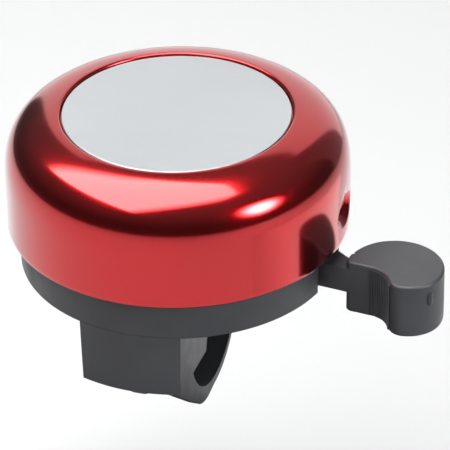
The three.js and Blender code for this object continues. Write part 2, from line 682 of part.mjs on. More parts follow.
for (const [number, side] of [[1, 1], [2, -1]]) {
  head.add(
    part(`striker_pin_${number}`, strikerPinGeometry(side), zincSteel()),
    part(`striker_ring_${number}`, strikerRingGeometry(side), material(0x8f9194, 0.3, 1)),
  );
}

export default bell;
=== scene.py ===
"""Bicycle bell: fine meshes, materials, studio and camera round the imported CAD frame."""

import json
import math

import bmesh
import bpy
from mathutils import Matrix, Vector

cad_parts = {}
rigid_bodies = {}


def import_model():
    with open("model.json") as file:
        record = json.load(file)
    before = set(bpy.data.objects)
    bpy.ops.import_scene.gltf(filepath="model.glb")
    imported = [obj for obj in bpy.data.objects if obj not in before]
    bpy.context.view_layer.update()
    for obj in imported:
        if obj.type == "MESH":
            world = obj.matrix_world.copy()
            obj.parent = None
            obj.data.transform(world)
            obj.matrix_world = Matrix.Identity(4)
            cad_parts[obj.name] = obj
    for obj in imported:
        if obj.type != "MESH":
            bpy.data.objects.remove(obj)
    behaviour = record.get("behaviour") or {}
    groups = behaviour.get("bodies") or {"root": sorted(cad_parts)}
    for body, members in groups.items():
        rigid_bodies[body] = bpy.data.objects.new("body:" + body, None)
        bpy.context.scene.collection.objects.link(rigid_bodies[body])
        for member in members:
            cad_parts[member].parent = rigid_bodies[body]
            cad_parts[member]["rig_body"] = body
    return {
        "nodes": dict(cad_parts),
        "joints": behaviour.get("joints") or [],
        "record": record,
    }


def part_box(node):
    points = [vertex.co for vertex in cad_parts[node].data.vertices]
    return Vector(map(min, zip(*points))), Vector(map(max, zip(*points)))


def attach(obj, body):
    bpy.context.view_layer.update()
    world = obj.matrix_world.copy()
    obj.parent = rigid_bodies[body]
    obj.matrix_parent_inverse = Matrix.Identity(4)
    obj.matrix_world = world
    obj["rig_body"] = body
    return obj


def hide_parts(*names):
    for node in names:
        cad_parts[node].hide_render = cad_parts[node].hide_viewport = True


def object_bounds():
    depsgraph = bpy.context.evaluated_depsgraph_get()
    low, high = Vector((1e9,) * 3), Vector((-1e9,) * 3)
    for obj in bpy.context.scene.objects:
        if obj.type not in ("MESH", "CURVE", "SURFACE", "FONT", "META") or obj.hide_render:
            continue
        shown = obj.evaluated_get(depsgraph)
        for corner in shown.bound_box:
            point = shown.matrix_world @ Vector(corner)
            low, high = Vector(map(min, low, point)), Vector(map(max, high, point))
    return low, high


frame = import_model()
cad_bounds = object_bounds()

MM = 0.001  # one millimetre, in metres
TINY = 1e-6


def extent(node):
    """Lowest and highest corner of a CAD node, in millimetres."""
    low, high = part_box(node)
    return low / MM, high / MM


# ---------- places, in millimetres ----------

dome_low, dome_high = extent("dome")
base_low, base_high = extent("base_housing")
disc_low, disc_high = extent("cover_disc")
joints = {joint["name"]: joint for joint in frame["joints"]}
lever_pivot = [v / MM for v in joints["lever_turn"]["pos_m"][:2]]
idler_centre = [v / MM for v in joints["idler_turn"]["pos_m"][:2]]
strap_hinge = [v / MM for v in joints["strap_hinge"]["pos_m"][1:]]
screw_y = joints["screw_spin"]["pos_m"][1] / MM

BLOCK_DEPTH = 10.2  # how far the clamp block reaches below the cup
CUP_Z = base_low.z + BLOCK_DEPTH  # underside of the base's cup
RIM_Z = dome_low.z
DOME_RADIUS = dome_high.x
SEAT_RADIUS = 11.15  # takes a 22.2 mm handlebar
LEVER_ANGLE = math.degrees(math.atan2(lever_pivot[1], lever_pivot[0]))
PIVOT_DISTANCE = math.hypot(*lever_pivot)
ROTOR_ANGLE = 50  # degrees: the striker bar at rest
STRIKER_RADIUS = 17.6  # striker pins, from the dome's axis

FIT = 0.03  # clearance of a shaft in its hole
POST_RADIUS = 2.0
POST_HEAD_RADIUS = 3.8
PIVOT_RADIUS = 1.25  # lever pin and idler pin
STUD_RADIUS = 1.0  # striker pins
HINGE_PIN_RADIUS = 1.1
SCREW_RADIUS = 1.5
THROUGH = 30  # reach of a cutting tool that leaves the body altogether


# ---------- mesh helpers ----------

def rad(degrees):
    return math.radians(degrees)


def on_circle(x, y, radius, degrees):
    return x + radius * math.cos(rad(degrees)), y + radius * math.sin(rad(degrees))


def arc(x, y, radius, start, end, steps):
    """Points on a circle from one angle to another, in degrees."""
    return [on_circle(x, y, radius, start + (end - start) * i / steps) for i in range(steps + 1)]


STRAIGHT = 0.02  # radians: a corner this close to straight stays as it is
MOST_OF_SIDE = 0.45  # share of a side that one rounded corner may take


def rounded(points, radius, steps=4):
    """A profile with its corners rounded. A point may give its own radius as a third number."""
    out = []
    count = len(points)
    for i, point in enumerate(points):
        corner = Vector(point[:2])
        before = Vector(points[i - 1][:2]) - corner
        after = Vector(points[(i + 1) % count][:2]) - corner
        wanted = point[2] if len(point) > 2 else radius
        half = before.angle(after, math.pi) / 2
        if wanted <= 0 or min(before.length, after.length) < TINY or half > math.pi / 2 - STRAIGHT:
            out.append(tuple(corner))
            continue
        shorter = min(before.length, after.length)
        reach = min(wanted / math.tan(half), shorter * MOST_OF_SIDE)
        start = corner + before.normalized() * reach
        end = corner + after.normalized() * reach
        for k in range(steps + 1):
            t = k / steps
            out.append(tuple(start * (1 - t) ** 2 + corner * 2 * t * (1 - t) + end * t ** 2))
    return out


def make_object(name, bm):
    """A mesh object from a bmesh in millimetres."""
    bmesh.ops.recalc_face_normals(bm, faces=bm.faces)
    mesh = bpy.data.meshes.new(name)
    bm.to_mesh(mesh)
    bm.free()
    obj = bpy.data.objects.new(name, mesh)
    bpy.context.scene.collection.objects.link(obj)
    return obj


def revolve(name, profile, angles=128):
    """A body turned about Z from a closed list of (radius, z). Angles are a number of steps or a list."""
    bm = bmesh.new()
    if isinstance(angles, int):
        angles = [360 * i / angles for i in range(angles)]
    turns = [(math.cos(rad(a)), math.sin(rad(a))) for a in angles]
    rings = []
    for radius, z in profile:
        if radius < TINY:
            rings.append([bm.verts.new((0, 0, z))])
        else:
            rings.append([bm.verts.new((radius * c, radius * s, z)) for c, s in turns])
    count = len(angles)
    for k, lower in enumerate(rings):
        upper = rings[(k + 1) % len(rings)]
        for i in range(count):
            j = (i + 1) % count
            pairs = ((lower, i), (lower, j), (upper, j), (upper, i))
            face = list(dict.fromkeys(ring[at % len(ring)] for ring, at in pairs))
            if len(face) > 2:
                bm.faces.new(face)
    return make_object(name, bm)


def prism(name, outline, low, high):
    """An outline in (x, y) extruded along Z."""
    bm = bmesh.new()
    bottom = [bm.verts.new((x, y, low)) for x, y in outline]
    top = [bm.verts.new((x, y, high)) for x, y in outline]
    bm.faces.new(bottom[::-1])
    bm.faces.new(top)
    for i in range(len(outline)):
        j = (i + 1) % len(outline)
        bm.faces.new((bottom[i], bottom[j], top[j], top[i]))
    return make_object(name, bm)


def inset(outline, distance):
    """A counter-clockwise outline drawn in by a distance."""
    out = []
    for i, point in enumerate(outline):
        here = Vector(point)
        before = (here - Vector(outline[i - 1])).normalized()
        after = (Vector(outline[(i + 1) % len(outline)]) - here).normalized()
        normal = Vector((-before.y - after.y, before.x + after.x))
        out.append(tuple(here + normal * distance / (1 + before.dot(after))))
    return out


def cushion(name, outline, low, high, radius, steps=6):
    """A counter-clockwise outline extruded along Z, with its top and bottom edges rounded."""
    bm = bmesh.new()
    turns = [rad(90 * k / steps) for k in range(steps + 1)]
    levels = [(a, low + radius * (1 - math.cos(a))) for a in turns]
    levels += [(a, high - radius * (1 - math.cos(a))) for a in reversed(turns)]
    rings = []
    for a, z in levels:
        rings.append([bm.verts.new((x, y, z)) for x, y in inset(outline, radius * (1 - math.sin(a)))])
    count = len(outline)
    for lower, upper in zip(rings, rings[1:]):
        for i in range(count):
            j = (i + 1) % count
            bm.faces.new((lower[i], lower[j], upper[j], upper[i]))
    bm.faces.new(rings[0][::-1])
    bm.faces.new(rings[-1])
    return make_object(name, bm)


ALONG_X = Matrix(((0, 0, 1, 0), (1, 0, 0, 0), (0, 1, 0, 0), (0, 0, 0, 1)))
ALONG_Y = Matrix(((1, 0, 0, 0), (0, 0, -1, 0), (0, 1, 0, 0), (0, 0, 0, 1)))


def across(name, outline, low, high):
    """An outline in (y, z) extruded along X."""
    obj = prism(name, outline, low, high)
    obj.data.transform(ALONG_X)
    return obj


def back_to_front(name, outline, back, front):
    """An outline in (x, z) extruded along Y, towards -Y."""
    obj = prism(name, outline, -back, front)
    obj.data.transform(ALONG_Y)
    return obj


def block(name, low, high):
    outline = [(low[0], low[1]), (high[0], low[1]), (high[0], high[1]), (low[0], high[1])]
    return prism(name, outline, low[2], high[2])


def rod(name, radius, low, high, place=(0, 0), sides=64):
    obj = revolve(name, [(0, low), (radius, low), (radius, high), (0, high)], sides)
    return moved(obj, (*place, 0))


def rod_across(name, radius, half_width, y, z, sides=64):
    return across(name, arc(y, z, radius, 0, 360, sides)[:-1], -half_width, half_width)


def moved(obj, offset=(0, 0, 0), turn=0):
    """Turns a mesh about Z by so many degrees, then moves it."""
    obj.data.transform(Matrix.Translation(offset) @ Matrix.Rotation(rad(turn), 4, "Z"))
    return obj


def apply_modifiers(obj):
    graph = bpy.context.evaluated_depsgraph_get()
    graph.update()
    mesh = bpy.data.meshes.new_from_object(obj.evaluated_get(graph))
    old = obj.data
    obj.modifiers.clear()
    obj.data = mesh
    bpy.data.meshes.remove(old)
    return obj


MERGE_DISTANCE = 0.004
FLAT_ANGLE = 0.4  # degrees


def combine(obj, tools, operation):
    """Joins tools to a body or cuts them out of it, and removes them."""
    for tool in tools:
        modifier = obj.modifiers.new("combine", "BOOLEAN")
        modifier.operation = operation
        modifier.solver = "EXACT"
        modifier.object = tool
    apply_modifiers(obj)
    for tool in tools:
        mesh = tool.data
        bpy.data.objects.remove(tool)
        bpy.data.meshes.remove(mesh)
    bm = bmesh.new()
    bm.from_mesh(obj.data)
    bmesh.ops.remove_doubles(bm, verts=bm.verts, dist=MERGE_DISTANCE)
    bmesh.ops.dissolve_limit(bm, angle_limit=rad(FLAT_ANGLE), verts=bm.verts, edges=bm.edges)
    bm.to_mesh(obj.data)
    bm.free()
    return obj


def join(obj, *tools):
    return combine(obj, tools, "UNION")


def cut(obj, *tools):
    return combine(obj, tools, "DIFFERENCE")


def bevelled(obj, width, segments=3, angle=30):
    modifier = obj.modifiers.new("edges", "BEVEL")
    modifier.width = width
    modifier.segments = segments
    modifier.limit_method = "ANGLE"
    modifier.angle_limit = rad(angle)
    modifier.miter_outer = "MITER_ARC"
    return apply_modifiers(obj)


def tube(name, points, radius, sides=16):
    """A round wire along a list of points."""
    bm = bmesh.new()
    side = Vector((0, 0, 1))
    rings = []
    for i, point in enumerate(points):
        ahead = points[min(i + 1, len(points) - 1)]
        behind = points[max(i - 1, 0)]
        along = (Vector(ahead) - Vector(behind)).normalized()
        side = (side - along * side.dot(along)).normalized()
        other = along.cross(side)
        rings.append([
            bm.verts.new(Vector(point) + (side * math.cos(a) + other * math.sin(a)) * radius)
            for a in (2 * math.pi * k / sides for k in range(sides))
        ])
    for lower, upper in zip(rings, rings[1:]):
        for k in range(sides):
            bm.faces.new((lower[k], lower[(k + 1) % sides], upper[(k + 1) % sides], upper[k]))
    bm.faces.new(rings[0][::-1])
    bm.faces.new(rings[-1])
    return make_object(name, bm)


def finished(obj, node, smooth_angle=32):
    """Scales a piece to metres, shades it, and lets it stand for its CAD node."""
    obj.data.transform(Matrix.Scale(MM, 4))
    obj.data.shade_smooth()
    obj.data.set_sharp_from_angle(angle=rad(smooth_angle))
    weighted = obj.modifiers.new("normals", "WEIGHTED_NORMAL")
    weighted.keep_sharp = True
    apply_modifiers(obj)
    slot_name = next(s["material_slot"] for s in frame["record"]["subparts"] if s["node"] == node)
    obj.data.materials.clear()
    obj.data.materials.append(materials[slot_name])
    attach(obj, frame["nodes"][node]["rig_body"])
    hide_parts(node)
    return obj


# ---------- materials ----------

def add_node(tree, kind, **inputs):
    """A shader node with some inputs set. An input's name has an underscore for each space."""
    node = tree.nodes.new(kind)
    for name, value in inputs.items():
        node.inputs[name.replace("_", " ")].default_value = value
    return node


class Nodes:
    """Builds one material's node tree on Object coordinates."""

    def __init__(self, name):
        self.material = bpy.data.materials.new(name)
        self.material.use_nodes = True
        self.tree = self.material.node_tree
        self.shader = self.tree.nodes["Principled BSDF"]
        self.coordinates = self.tree.nodes.new("ShaderNodeTexCoord").outputs["Object"]

    def set(self, **values):
        for name, value in values.items():
            self.shader.inputs[name.replace("_", " ")].default_value = value

    def link(self, output, socket):
        self.tree.links.new(output, socket)

    def noise(self, scale, detail=3, stretch=None):
        node = add_node(self.tree, "ShaderNodeTexNoise", Scale=scale, Detail=detail)
        source = self.coordinates
        if stretch:
            mapping = add_node(self.tree, "ShaderNodeMapping", Scale=stretch)
            self.link(source, mapping.inputs["Vector"])
            source = mapping.outputs["Vector"]
        self.link(source, node.inputs["Vector"])
        return node.outputs["Fac"]

    def spread(self, value, low, high, start=0.3, end=0.7):
        """Maps the middle of a noise's values to a range."""
        ends = {"From_Min": start, "From_Max": end, "To_Min": low, "To_Max": high}
        node = add_node(self.tree, "ShaderNodeMapRange", **ends)
        self.link(value, node.inputs["Value"])
        return node.outputs["Result"]

    def colours(self, value, low, high):
        node = self.tree.nodes.new("ShaderNodeMix")
        node.data_type = "RGBA"
        node.inputs["A"].default_value = (*low, 1)
        node.inputs["B"].default_value = (*high, 1)
        self.link(value, node.inputs["Factor"])
        self.link(node.outputs["Result"], self.shader.inputs["Base Color"])

    def roughness(self, value, low, high):
        self.link(self.spread(value, low, high), self.shader.inputs["Roughness"])

    def bump(self, value, strength, distance):
        node = add_node(self.tree, "ShaderNodeBump", Strength=strength, Distance=distance)
        self.link(value, node.inputs["Height"])
        self.link(node.outputs["Normal"], self.shader.inputs["Normal"])


def red_anodised():
    m = Nodes("red_anodised")
    m.set(Metallic=1.0, Coat_Weight=1.0, Coat_Roughness=0.1, Coat_IOR=1.5)
    m.colours(m.spread(m.noise(60), 0, 1), (0.47, 0.001, 0.0035), (0.52, 0.0015, 0.006))
    m.roughness(m.noise(140, 5), 0.15, 0.19)
    m.bump(m.noise(90, 2), 0.05, 0.00004)
    return m.material


def disc_silver():
    m = Nodes("disc_silver")
    m.set(Metallic=0.85)
    grain = m.noise(300, 4, (0.4, 14, 1))
    m.colours(m.spread(m.noise(35), 0, 1), (0.42, 0.44, 0.465), (0.455, 0.475, 0.50))
    m.roughness(grain, 0.34, 0.44)
    m.bump(grain, 0.04, 0.00002)
    return m.material


def black_plastic():
    m = Nodes("black_plastic")
    m.set(IOR=1.49)
    m.colours(m.spread(m.noise(120, 4), 0, 1), (0.0205, 0.0213, 0.0255), (0.0295, 0.0303, 0.0355))
    m.roughness(m.noise(260, 4), 0.40, 0.52)
    m.bump(m.noise(2600, 4), 0.16, 0.00005)
    return m.material


def gear_plastic():
    m = Nodes("gear_plastic")
    m.set(IOR=1.48)
    m.colours(m.spread(m.noise(150), 0, 1), (0.66, 0.64, 0.58), (0.72, 0.70, 0.64))
    m.roughness(m.noise(300), 0.30, 0.45)
    m.bump(m.noise(1500), 0.08, 0.00003)
    return m.material


def steel(name, low, high, rough_low, rough_high, stretch):
    m = Nodes(name)
    m.set(Metallic=1.0)
    m.colours(m.spread(m.noise(220, 4), 0, 1), low, high)
    grain = m.noise(500, 4, stretch)
    m.roughness(grain, rough_low, rough_high)
    m.bump(grain, 0.06, 0.00002)
    return m.material


materials = {
    "red_anodised": red_anodised(),
    "disc_silver": disc_silver(),
    "black_plastic": black_plastic(),
    "gear_plastic": gear_plastic(),
    "zinc_steel": steel("zinc_steel", (0.52, 0.54, 0.56), (0.62, 0.63, 0.65), 0.22, 0.36, (1, 1, 5)),
    "spring_steel": steel("spring_steel", (0.32, 0.32, 0.34), (0.42, 0.42, 0.43), 0.26, 0.40, (4, 4, 1)),
    "ring_steel": steel("ring_steel", (0.62, 0.60, 0.57), (0.70, 0.68, 0.65), 0.12, 0.24, (1, 1, 8)),
}


# ---------- dome and cover disc ----------

SHOULDER_Z = CUP_Z + 14.13  # above it the wall curves in along a superellipse
SHOULDER_TOP = CUP_Z + 25.45
SHOULDER_START = 11.0
SHOULDER_POWER = 3.21
CREST_RADIUS = 18.2
RECESS_RADIUS = 17.8
RECESS_Z = CUP_Z + 24.25
WELL_RADIUS = 5.5
WELL_Z = CUP_Z + 21.5
DOME_WALL = 1.0

DENT_DEPTH = 1.5
DENT_HALF_WIDTH = 3.4
DENT_HALF_HEIGHT = 2.3
DENT_LIP = (0.9, 1.25)  # shares of the half sizes between which a dent fades into the wall
DENT_LIP_HEIGHT = 0.95
DENT_ANGLES = (3, 183)
DENT_Z = CUP_Z + 11.6
DENT_ROOM = 10.4  # degrees on each side of a dent's middle that have the fine steps
DENT_STEPS = 52


def shoulder(inward, steps):
    """The curve from the wall to the crest, or a parallel one so far inward."""
    width = DOME_RADIUS - inward - SHOULDER_START
    height = SHOULDER_TOP - inward - SHOULDER_Z
    last = math.acos(((CREST_RADIUS - inward / 2 - SHOULDER_START) / width) ** (SHOULDER_POWER / 2))
    out = []
    for i in range(steps + 1):
        a = last * i / steps
        out.append((
            SHOULDER_START + width * math.cos(a) ** (2 / SHOULDER_POWER),
            SHOULDER_Z + height * math.sin(a) ** (2 / SHOULDER_POWER),
        ))
    return out


def dent_depth(along, up):
    """How far the striker bump is pressed in, at a place beside its middle."""
    away = math.sqrt((along / DENT_HALF_WIDTH) ** 2 + (up / DENT_HALF_HEIGHT) ** 2)
    lip, end = DENT_LIP
    if away >= end:
        return 0
    if away > lip:
        t = (end - away) / (end - lip)
        return DENT_DEPTH * math.sqrt(1 - lip ** 2) * t * t * (2 - t) * DENT_LIP_HEIGHT
    return DENT_DEPTH * math.sqrt(1 - away ** 2)


def dome_profile():
    """The dome's section as a closed list of (radius, z): up the outside from the rim, then down inside."""
    fine_low, fine_high = DENT_Z - 2.9, SHOULDER_Z - 0.05
    fine = [fine_low + (fine_high - fine_low) * k / 50 for k in range(51)]
    top = shoulder(0, 56)
    crest_z = top[-1][1]
    crest = [(0.25, 0.01), (0.12, 0.07), (0.03, 0.18), (0, 0.32)]
    outside = [
        (DOME_RADIUS - 0.34, RIM_Z), (DOME_RADIUS - 0.16, RIM_Z + 0.05), (DOME_RADIUS - 0.05, RIM_Z + 0.16),
        *[(DOME_RADIUS, z) for z in (RIM_Z + 0.34, RIM_Z + 1.0, *fine)],
        *top,
        *[(RECESS_RADIUS + out, crest_z - down) for out, down in crest],
        (RECESS_RADIUS, RECESS_Z + 0.2), (RECESS_RADIUS - 0.06, RECESS_Z + 0.06),
        (RECESS_RADIUS - 0.2, RECESS_Z), (12, RECESS_Z),
        (WELL_RADIUS + 0.8, RECESS_Z), (WELL_RADIUS + 0.58, RECESS_Z - 0.08),
        (WELL_RADIUS + 0.45, RECESS_Z - 0.3), (WELL_RADIUS, WELL_Z + 0.3),
        (WELL_RADIUS - 0.15, WELL_Z + 0.07), (WELL_RADIUS - 0.4, WELL_Z), (POST_RADIUS + FIT, WELL_Z),
    ]
    well_under = WELL_Z - DOME_WALL
    recess_under = RECESS_Z - DOME_WALL
    inner = DOME_RADIUS - DOME_WALL
    inside = [
        (POST_RADIUS + FIT, well_under),
        (WELL_RADIUS + 0.7, well_under), (WELL_RADIUS + 1.1, well_under + 0.3),
        (WELL_RADIUS + 1.45, recess_under - 0.2), (WELL_RADIUS + 1.7, recess_under),
        (RECESS_RADIUS - DOME_WALL, recess_under),
        *shoulder(DOME_WALL, 40)[:-1][::-1],
        *[(inner, z) for z in (*fine[::-1], RIM_Z + 1.0, RIM_Z + 0.2)],
        (inner + 0.14, RIM_Z + 0.04), (inner + 0.3, RIM_Z),
    ]
    return [*outside, *inside]


def build_dome():
    fine = [DENT_ROOM * k / DENT_STEPS for k in range(-DENT_STEPS, DENT_STEPS + 1)]
    near = [middle + off for middle in DENT_ANGLES for off in fine]
    angles = sorted({round(a % 360, 3) for a in [*range(360), *near]})
    obj = revolve("bell_dome", dome_profile(), angles)
    for vertex in obj.data.vertices:
        radius = math.hypot(vertex.co.x, vertex.co.y)
        for middle in DENT_ANGLES:
            off = (math.degrees(math.atan2(vertex.co.y, vertex.co.x)) - middle + 180) % 360 - 180
            depth = dent_depth(rad(off) * DOME_RADIUS, vertex.co.z - DENT_Z)
            if depth > 0:
                vertex.co.x *= (radius - depth) / radius
                vertex.co.y *= (radius - depth) / radius
    return finished(obj, "dome", smooth_angle=50)


def build_disc():
    radius = disc_high.x
    profile = rounded([
        (0, disc_low.z, 0), (radius, disc_low.z), (radius, disc_high.z, 0.14), (0, disc_high.z, 0),
    ], 0.06)
    return finished(revolve("silver_cover_disc", profile, 256), "cover_disc")


# ---------- base housing ----------

BASE_RADIUS_LOW = 24.7
BASE_RADIUS_HIGH = base_high.y
BASE_INNER_RADIUS = 23.1
BASE_HEIGHT = 8.0
BASE_FLOOR = 1.6
BOSS_START = CUP_Z + 0.5  # inside the floor, so that a boss and the cup are one body
HINGE_Y, HINGE_Z = strap_hinge
LEVER_SLOT = (LEVER_ANGLE - 8.6, LEVER_ANGLE + 18.5)
LEVER_SLOT_RADIUS = 21
BLOCK_HALF = 8.1
BLOCK_TAPER = 0.3  # how much nearer each side is at the bottom
BLOCK_FRONT_ANGLE = 22  # degrees: half of the curved front
EAR_RADIUS = 3
EAR_SPAN = (5.7, 8.1)
PEG_DISTANCE, PEG_ANGLE = 5.2, 235  # spring peg, from the lever's pivot
SCREW_HOLE_RADIUS = 1.65
NUT_SLOT_HALF = 2.9
NUT_ROOM = 0.15


def clamp_block():
    """The block that straddles the handlebar, before its seat and holes are cut."""
    front = arc(0, 0, BASE_RADIUS_LOW - 0.06, -90 - BLOCK_FRONT_ANGLE, -90 + BLOCK_FRONT_ANGLE, 44)
    clamp = prism("clamp_block", [(14, 0), (-14, 0), *front], base_low.z, CUP_Z + 1)
    below, above = base_low.z - 1, CUP_Z + 2
    sides = []
    for sign in (-1, 1):
        outline = [
            (sign * (BLOCK_HALF - BLOCK_TAPER), below), (sign * BLOCK_HALF, above),
            (sign * THROUGH, above), (sign * THROUGH, below),
        ]
        sides.append(back_to_front("block_side", outline, 2, 40))
    return bevelled(cut(clamp, *sides), 0.45, segments=4, angle=50)


def build_base():
    cup = revolve("base_housing_shell", rounded([
        (0, CUP_Z, 0), (BASE_RADIUS_LOW, CUP_Z, 0.35), (BASE_RADIUS_HIGH, CUP_Z + BASE_HEIGHT),
        (BASE_INNER_RADIUS, CUP_Z + BASE_HEIGHT), (BASE_INNER_RADIUS, CUP_Z + BASE_FLOOR, 0.5),
        (0, CUP_Z + BASE_FLOOR, 0),
    ], 0.25), 240)
    clamp = clamp_block()
    ear_top = CUP_Z + 0.8
    ear_outline = [
        (HINGE_Y + EAR_RADIUS, ear_top), (HINGE_Y - EAR_RADIUS, ear_top),
        *arc(HINGE_Y, HINGE_Z, EAR_RADIUS, 180, 360, 24),
    ]
    ears = [across("ear", ear_outline, *sorted(sign * x for x in EAR_SPAN)) for sign in (-1, 1)]
    peg = on_circle(*lever_pivot, PEG_DISTANCE, PEG_ANGLE)
    join(cup, clamp, *ears,
         rod("boss", 4.6, BOSS_START, CUP_Z + 4.0),
         rod("idler_boss", 2.6, BOSS_START, CUP_Z + 1.8, idler_centre),
         rod("spring_peg", 0.9, BOSS_START, CUP_Z + 5.8, peg, 32))
    slot_outline = [
        *arc(0, 0, THROUGH, *LEVER_SLOT, 12), *arc(0, 0, LEVER_SLOT_RADIUS, *reversed(LEVER_SLOT), 12),
    ]
    nut_low, nut_high = extent("clamp_nut")
    nut_slot_low = (-NUT_SLOT_HALF, screw_y - NUT_SLOT_HALF, nut_low.z - NUT_ROOM)
    nut_slot_high = (NUT_SLOT_HALF, -5, nut_high.z + NUT_ROOM)
    below = CUP_Z - 1
    cut(cup,
        prism("lever_slot", slot_outline, CUP_Z - 5, CUP_Z + 12),
        rod_across("bar_seat", SEAT_RADIUS, THROUGH, 0, 0, 160),
        rod("post_hole", POST_RADIUS + FIT, below, CUP_Z + 6),
        rod("head_recess", POST_HEAD_RADIUS + FIT, below, CUP_Z + 2.15),
        rod("lever_pin_hole", PIVOT_RADIUS + FIT, below, CUP_Z + 3, lever_pivot),
        rod("idler_pin_hole", PIVOT_RADIUS + FIT, below, CUP_Z + 3, idler_centre),
        rod("screw_hole", SCREW_HOLE_RADIUS, base_low.z - 1, below, (0, screw_y)),
        block("nut_slot", nut_slot_low, nut_slot_high),
        rod_across("hinge_hole", HINGE_PIN_RADIUS + FIT, 12, HINGE_Y, HINGE_Z))
    return finished(bevelled(cup, 0.16, segments=2, angle=38), "base_housing")


# ---------- strap and its fasteners ----------

STRAP_HALF = 5.4
STRAP_RIB = 1.7  # width of the rib along each edge of the strap
STRAP_END = 385  # degrees round the handlebar, just past the hinge
RIB_ARC = (-0.45, 0, 12.5)
WEB_ARC = (0, 0, 12.05)  # the thinner web between the ribs
LUG_ARC = (-3.5, -5.3, 7.6)
LUG_NOSE_Z = -1.1
LUG_THICKNESS = 1.8
KNUCKLE_RADIUS = 2.6
SCREW_SLOT_RADIUS = 1.7
SCREW_SLOT_ENDS = (-1.1, 0.1)  # the strap swings, so its screw hole is a slot


def build_strap():
    lug_top = base_low.z - 0.3
    lug_front = extent("clamp_strap")[0].y
    lug_seat = lug_top - LUG_THICKNESS
    rib_outline = [
        (lug_front, lug_top), (lug_front, LUG_NOSE_Z),
        *arc(*LUG_ARC, 230, 270, 20), *arc(*RIB_ARC, 270, STRAP_END, 80),
        (0, 0), (-SEAT_RADIUS, lug_top),
    ]
    web_outline = [
        (lug_front, lug_top), (lug_front, lug_seat), (-WEB_ARC[2], lug_seat),
        *arc(*WEB_ARC, 184, STRAP_END, 120), (0, 0), (-SEAT_RADIUS, lug_top),
    ]
    between_ribs = STRAP_HALF - STRAP_RIB
    strap = across("handlebar_strap", web_outline, -between_ribs - 0.1, between_ribs + 0.1)
    ribs = [
        across("rib", rib_outline, *sorted((sign * STRAP_HALF, sign * between_ribs))) for sign in (-1, 1)
    ]
    join(strap, *ribs, rod_across("knuckle", KNUCKLE_RADIUS, STRAP_HALF, HINGE_Y, HINGE_Z))
    back = 20
    plan = rounded([
        (-STRAP_HALF, back, 0), (-STRAP_HALF, lug_front), (STRAP_HALF, lug_front), (STRAP_HALF, back, 0),
    ], 3.6, 10)
    combine(strap, [prism("plan", plan, -20, 20)], "INTERSECT")
    slot_start, slot_end = (screw_y + end for end in SCREW_SLOT_ENDS)
    screw_slot = [
        *arc(0, slot_end, SCREW_SLOT_RADIUS, 0, 180, 16),
        *arc(0, slot_start, SCREW_SLOT_RADIUS, 180, 360, 16),
    ]
    cut(strap,
        rod_across("pin_hole", HINGE_PIN_RADIUS + FIT, 12, HINGE_Y, HINGE_Z),
        prism("screw_slot", screw_slot, -9, 3),
        rod_across("bar_seat", SEAT_RADIUS, THROUGH, 0, 0, 160))
    return finished(bevelled(strap, 0.3, segments=3, angle=38), "clamp_strap")


def build_nut_and_washer():
    low, high = extent("clamp_nut")
    nut = block("square_nut", tuple(low), tuple(high))
    cut(nut, rod("nut_bore", SCREW_RADIUS + FIT, low.z - 1, high.z + 1, (0, screw_y)))
    finished(bevelled(nut, 0.2, segments=2), "clamp_nut")

    low, high = extent("clamp_washer")
    hole, edge = 1.6, 3.2
    profile = rounded([(hole, low.z), (edge, low.z), (edge, high.z), (hole, high.z)], 0.12)
    finished(moved(revolve("screw_washer", profile, 96), (0, screw_y, 0)), "clamp_washer")


def thread(radius, pitch, low, high):
    """A threaded shank about Z with a chamfered end."""
    depth, chamfer, sides, rows_per_turn = 0.28, 0.3, 48, 8
    bm = bmesh.new()
    rows = int((high - low) / pitch * rows_per_turn)
    rings = []
    for k in range(rows + 1):
        z = low + (high - low) * k / rows
        ring = []
        for i in range(sides):
            phase = (z / pitch - i / sides) % 1
            r = min(radius - depth * abs(2 * phase - 1), radius - chamfer + (high - z))
            a = 2 * math.pi * i / sides
            ring.append(bm.verts.new((r * math.cos(a), r * math.sin(a), z)))
        rings.append(ring)
    for lower, upper in zip(rings, rings[1:]):
        for i in range(sides):
            j = (i + 1) % sides
            bm.faces.new((lower[i], lower[j], upper[j], upper[i]))
    bm.faces.new(rings[0][::-1])
    bm.faces.new(rings[-1])
    return make_object("shank", bm)


def build_screw():
    low, high = extent("clamp_screw")
    top = low.z + 1.65
    socket_flats = 2
    button = [(1.35, 0), (1.75, 0.12), (2.2, 0.36), (2.55, 0.72), (2.76, 1.1), (2.84, 1.4)]
    head = revolve("button_head_screw", [
        (0, low.z), *[(radius, low.z + up) for radius, up in button],
        (2.85, top - 0.08), (2.78, top), (1.1, top), (1.1, top + 0.6), (0, top + 0.6),
    ], 96)
    cut(head, rod("socket", socket_flats / math.sqrt(3), low.z - 1, low.z + 1.1, sides=6))
    join(head, thread(SCREW_RADIUS, 0.5, top - 0.3, high.z))
    finished(moved(head, (0, screw_y, 0)), "clamp_screw")


def build_hinge_pin():
    radius, half = HINGE_PIN_RADIUS, extent("strap_hinge_pin")[1].x
    profile = rounded([(0, -half, 0), (radius, -half), (radius, half), (0, half, 0)], 0.2)
    pin = revolve("strap_pin", profile, 64)
    pin.data.transform(Matrix.Translation((0, HINGE_Y, HINGE_Z)) @ Matrix.Rotation(rad(90), 4, "Y"))
    finished(pin, "strap_hinge_pin")


# ---------- gears ----------

